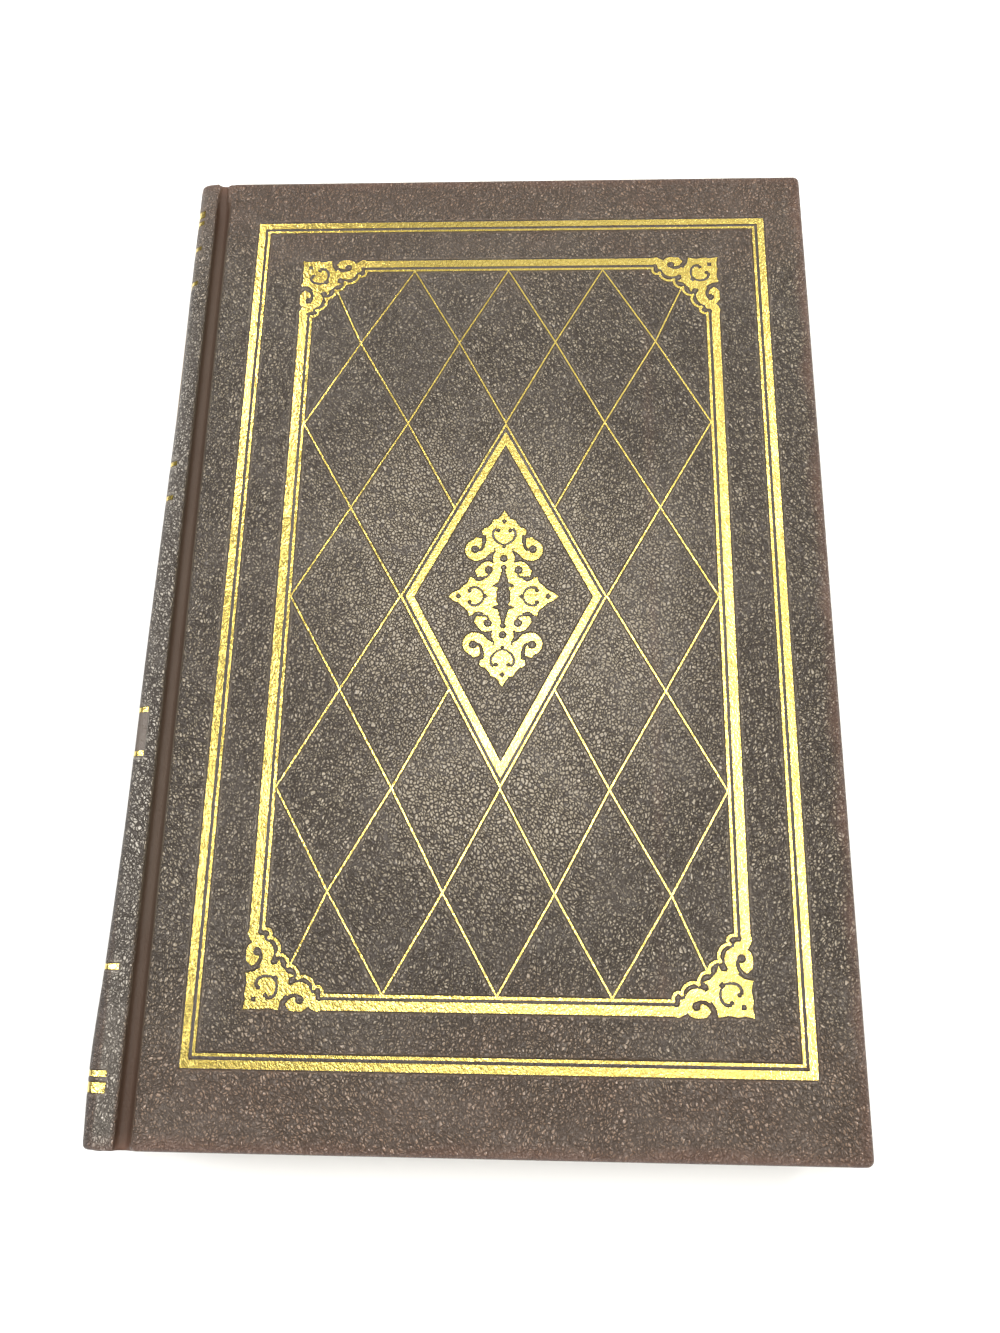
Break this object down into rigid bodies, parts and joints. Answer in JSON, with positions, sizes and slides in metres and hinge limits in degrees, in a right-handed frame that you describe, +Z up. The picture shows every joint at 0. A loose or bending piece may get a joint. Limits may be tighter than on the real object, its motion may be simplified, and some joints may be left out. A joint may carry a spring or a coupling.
{
  "type": "leather-bound book",
  "caption": "Full-leather hardback book with gold-tooled front cover, rounded spine and hinged covers, lying on its back cover.",
  "frame": {"origin": "centre of the closed book's footprint, on the plane that the back cover rests on", "axes": "+X from the spine to the fore edge, +Y from tail to head, +Z up through the front cover"},
  "size_m": [0.1586, 0.235, 0.03],
  "materials": {
    "leather": "dark brown pebbled leather with a soft gloss",
    "gold_leaf": "gold leaf pressed into leather",
    "paper": "edges of aged book paper",
    "endpaper": "plain endpaper",
    "pasteboard": "grey-brown board",
    "lining_cloth": "open-weave cloth glued under paper",
    "band_thread": "plain wound thread"
  },
  "bodies": {
    "block": {"text_block": "paper", "front_flyleaf": "endpaper", "back_flyleaf": "endpaper", "spine_lining": "lining_cloth", "head_band": "band_thread", "tail_band": "band_thread", "spine_stiffener": "pasteboard", "spine_leather": "leather", "front_joint_leather": "leather", "back_joint_leather": "leather", "spine_rules": "gold_leaf"},
    "front_cover": {"front_board": "pasteboard", "front_leather": "leather", "front_pastedown": "endpaper", "outer_frame": "gold_leaf", "inner_frame": "gold_leaf", "lattice": "gold_leaf", "lozenge": "gold_leaf", "arabesque": "gold_leaf"},
    "back_cover": {"back_board": "pasteboard", "back_leather": "leather", "back_pastedown": "endpaper"}
  },
  "joints": [
    {"name": "front_hinge", "type": "hinge", "parent": "block", "child": "front_cover", "pos_m": [-0.07215, 0, 0.0303], "axis": [0, -1, 0], "range_deg": [0, 180]},
    {"name": "back_hinge", "type": "hinge", "parent": "block", "child": "back_cover", "pos_m": [-0.07215, 0, -0.0003], "axis": [0, 1, 0], "range_deg": [0, 180]}
  ]
}
